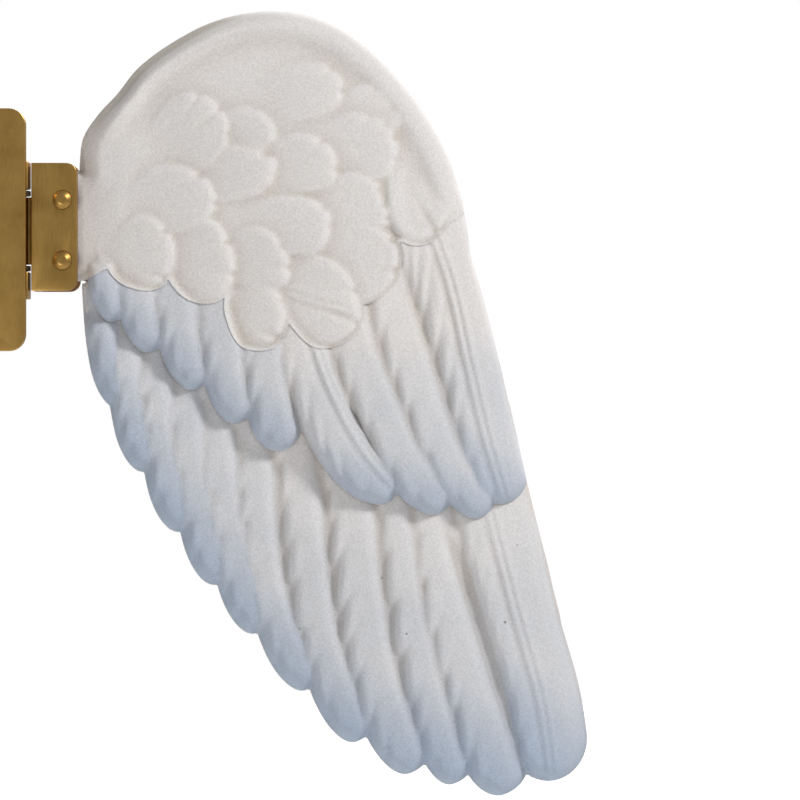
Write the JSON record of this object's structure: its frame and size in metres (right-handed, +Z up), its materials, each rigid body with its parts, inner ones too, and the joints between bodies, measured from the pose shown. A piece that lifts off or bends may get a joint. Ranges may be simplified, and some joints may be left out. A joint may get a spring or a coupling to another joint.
{
  "type": "pair of porcelain wings",
  "caption": "Pair of feathered bisque wings with blue-tinted tips, each luted from four castings and hinged on a brass back plate so that it folds back.",
  "frame": {"origin": "centre line of the back plate, on its front face, level with the hinges' middle line plus 1 mm", "axes": "+Z up, -Y towards the figure that wears the wings and its viewer, +X towards the figure's left wing"},
  "size_m": [0.1828, 0.021, 0.118],
  "materials": {
    "bisque": "matte unglazed",
    "bisque_tinted": "matte unglazed, airbrushed blue-grey towards the tips",
    "brass": "satin, slightly aged",
    "steel": "turned",
    "leather": "matte skived",
    "nylon": "matte"
  },
  "bodies": {
    "root": {"back_plate": "brass", "left_hinge_washer_upper": "nylon", "left_hinge_washer_lower": "nylon", "left_hinge_pin": "steel", "right_hinge_washer_upper": "nylon", "right_hinge_washer_lower": "nylon", "right_hinge_pin": "steel"},
    "left_wing": {"left_back_shell": "bisque", "left_primary_feathers": "bisque_tinted", "left_covert_feathers": "bisque_tinted", "left_shoulder_scales": "bisque", "left_root_channel": "brass", "left_root_liner": "leather", "left_root_rivet_upper": "brass", "left_root_rivet_lower": "brass"},
    "right_wing": {"right_back_shell": "bisque", "right_primary_feathers": "bisque_tinted", "right_covert_feathers": "bisque_tinted", "right_shoulder_scales": "bisque", "right_root_channel": "brass", "right_root_liner": "leather", "right_root_rivet_upper": "brass", "right_root_rivet_lower": "brass"}
  },
  "joints": [
    {"name": "left_wing_fold", "type": "hinge", "parent": "root", "child": "left_wing", "pos_m": [0.0056, 0.006, -0.001], "axis": [0, 0, 1], "range_deg": [0, 75]},
    {"name": "right_wing_fold", "type": "hinge", "parent": "root", "child": "right_wing", "pos_m": [-0.0056, 0.006, -0.001], "axis": [0, 0, -1], "range_deg": [0, 75]}
  ]
}
